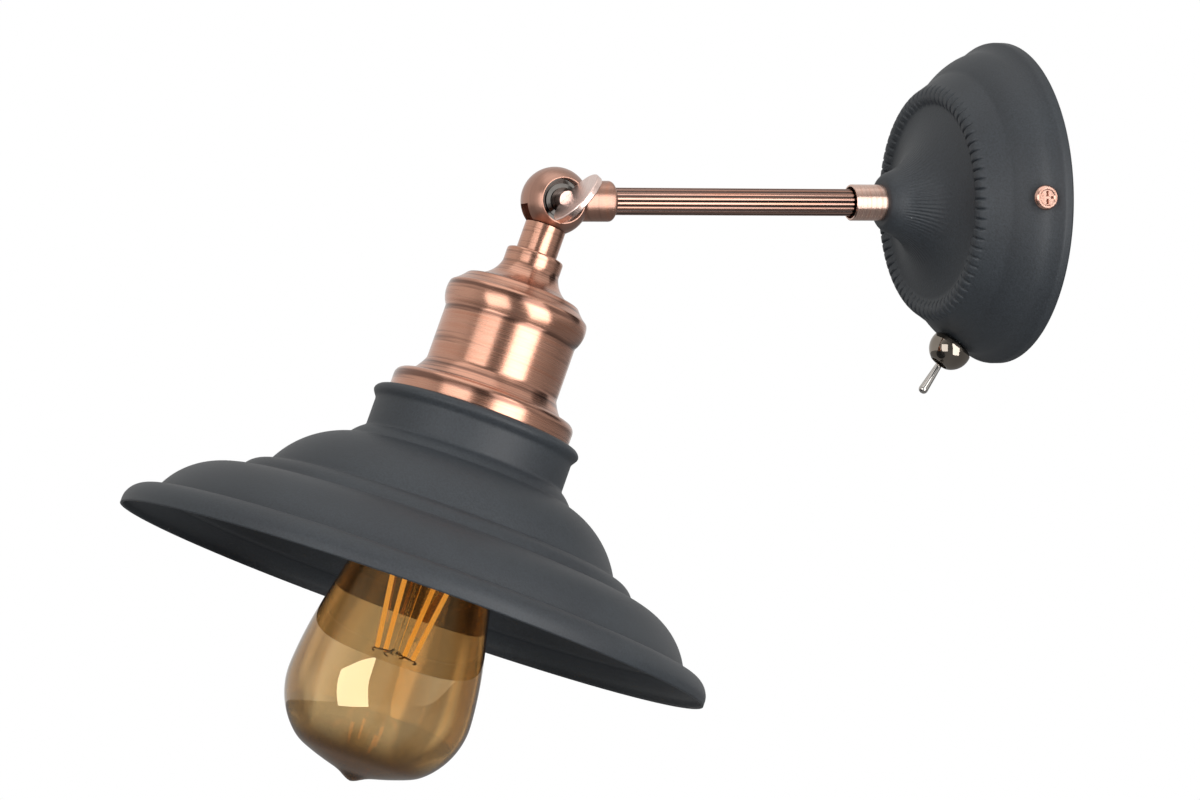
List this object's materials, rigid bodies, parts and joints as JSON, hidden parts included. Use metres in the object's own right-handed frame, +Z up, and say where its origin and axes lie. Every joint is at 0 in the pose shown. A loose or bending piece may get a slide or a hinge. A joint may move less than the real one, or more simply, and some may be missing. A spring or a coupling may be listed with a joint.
{
  "type": "wall lamp",
  "caption": "Wall lamp with a spun dome plate, a fixed reeded arm, a ball knuckle with a thumb screw, a stepped shade, a pear-shaped filament bulb and a toggle switch.",
  "frame": {"origin": "centre of the wall plate's back face, on the wall", "axes": "+Y into the wall along the arm's axis, +Z up, +X to the side of the knuckle's thumb screw"},
  "size_m": [0.2056, 0.3162, 0.2494],
  "materials": {
    "powder_coat": "fine textured powder coat",
    "copper": "satin copper plate",
    "black_nickel": "polished black nickel",
    "chrome": "polished",
    "zinc": "bright zinc plate",
    "brass": "bright",
    "black_plastic": "moulded",
    "white_ceramic": "glazed",
    "dark_glass": "black glass",
    "amber_glass": "amber lustre",
    "clear_glass": "clear",
    "filament": "phosphor coated",
    "wire": "drawn wire"
  },
  "bodies": {
    "root": {"wall_plate": "powder_coat", "wall_bracket": "zinc", "cover_screws": "copper", "terminal_block": "white_ceramic", "terminal_barrels": "brass", "terminal_screws": "zinc", "earth_screw": "zinc", "earth_washer": "zinc", "arm_lock_nut": "zinc", "arm_tooth_washer": "zinc", "arm_ferrule": "copper", "arm_tube": "copper", "ball_housing": "copper", "knuckle_flat_washer": "black_nickel", "knuckle_spring_washer": "black_nickel", "knuckle_thrust_washer": "black_nickel", "switch_dome_nut": "black_nickel", "switch_washer": "zinc", "switch_lock_nut": "zinc", "switch_bush": "zinc", "switch_body": "black_plastic", "switch_pins": "zinc"},
    "thumb_screw": {"thumb_screw": "copper"},
    "toggle_lever": {"toggle_lever": "chrome"},
    "head": {"knuckle_neck": "copper", "neck_nipple": "zinc", "cover_tooth_washer": "zinc", "cover_lock_nut": "zinc", "lampholder_cover": "copper", "lampholder_dome": "black_plastic", "lampholder_skirt": "black_plastic", "contact_block": "white_ceramic", "screw_sleeve": "brass", "centre_contact": "brass", "shade": "powder_coat", "shade_ring": "black_plastic"},
    "bulb": {"bulb_contact": "brass", "bulb_insulator": "dark_glass", "bulb_shell": "brass", "bulb_glass": "amber_glass", "bulb_stem": "clear_glass", "bulb_filaments": "filament", "bulb_supports": "wire"}
  },
  "joints": [
    {"name": "shade_tilt", "type": "hinge", "parent": "root", "child": "head", "pos_m": [0, -0.1677, 0], "axis": [-1, 0, 0], "range_deg": [-21.3, 48]},
    {"name": "thumb_screw_turn", "type": "hinge", "parent": "root", "child": "thumb_screw", "pos_m": [0.0208, -0.1677, 0], "axis": [1, 0, 0], "range_deg": [-90, 180]},
    {"name": "toggle", "type": "hinge", "parent": "root", "child": "toggle_lever", "pos_m": [-0.00619, -0.01869, -0.0543], "axis": [-0.0719, 0.7725, -0.631], "range_deg": [0, 24]},
    {"name": "bulb_out", "type": "slide", "parent": "head", "child": "bulb", "axis": [0, -0.3633, -0.9317], "range_m": [0, 0.045]}
  ]
}
